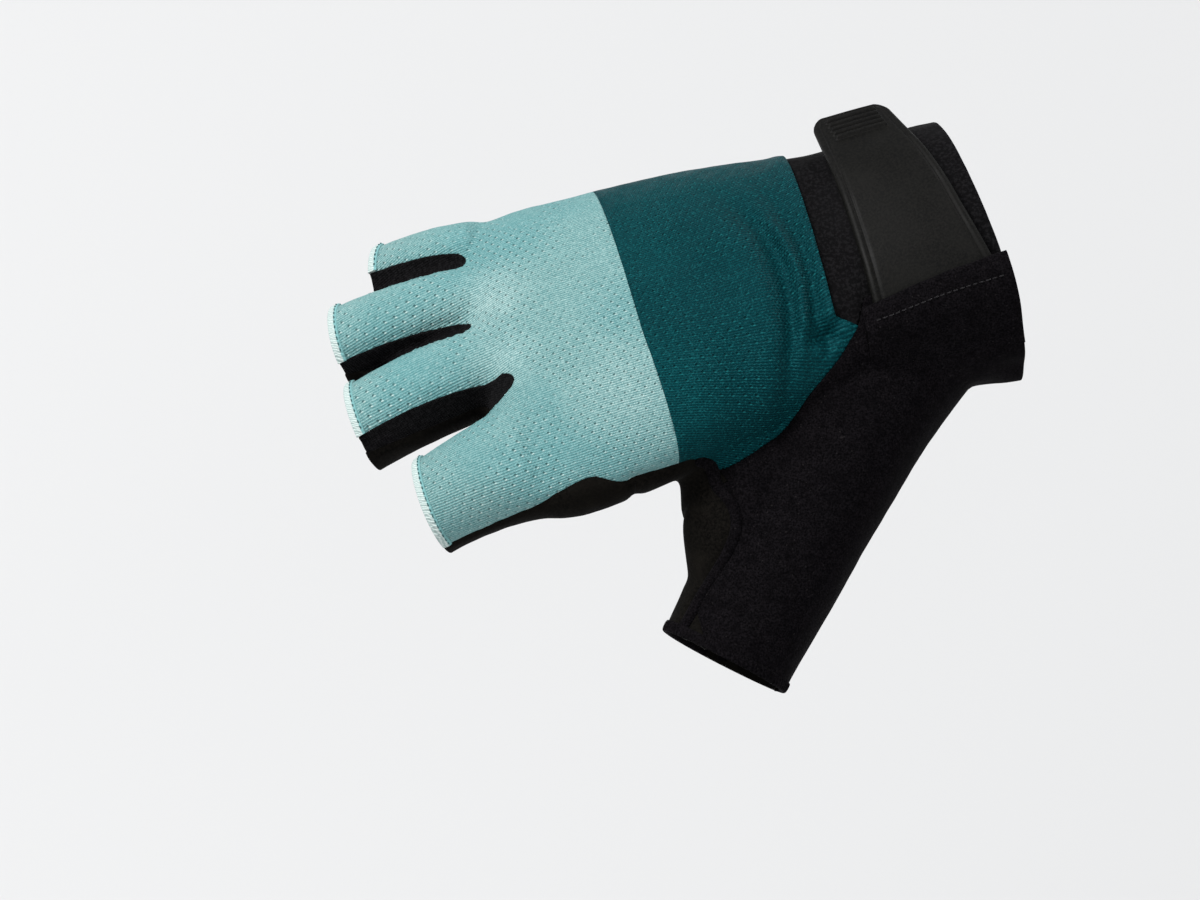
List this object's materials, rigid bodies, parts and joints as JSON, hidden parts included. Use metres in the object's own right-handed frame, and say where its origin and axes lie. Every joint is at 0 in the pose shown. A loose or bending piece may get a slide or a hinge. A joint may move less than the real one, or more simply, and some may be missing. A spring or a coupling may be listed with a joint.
{
  "type": "half-finger cycling glove",
  "caption": "Half-finger cycling glove for the right hand in its worn form, with knit back, suede palm, wipe thumb and wrist strap with a ribbed pull tab.",
  "frame": {"origin": "middle of the wrist opening, where the wrist comes out", "axes": "+X from the fingers to the wrist and out along the arm, +Y towards the little finger, +Z out of the back of the hand"},
  "size_m": [0.1452, 0.1226, 0.0739],
  "materials": {
    "light_knit": "eyelet knit, slight sheen",
    "dark_knit": "eyelet knit, slight sheen",
    "suede": "synthetic suede, matt",
    "wipe_fabric": "brushed nap, matt",
    "stretch": "stretch weave, matt",
    "laminate": "smooth laminated cloth, low sheen",
    "pale_edge": "overlocked thread edge"
  },
  "bodies": {
    "root": {"back_light": "light_knit", "back_dark": "dark_knit", "palm_panel": "suede", "thumb_gusset": "suede", "thumb_panel": "wipe_fabric", "thumb_seam": "wipe_fabric", "cuff_fold": "wipe_fabric", "hem_thumb": "wipe_fabric", "cuff_band": "stretch", "fourchette_little_ring": "stretch", "fourchette_ring_middle": "stretch", "fourchette_middle_index": "stretch", "closure_strap": "laminate", "hem_little": "pale_edge", "hem_ring": "pale_edge", "hem_middle": "pale_edge", "hem_index": "pale_edge"}
  },
  "joints": []
}
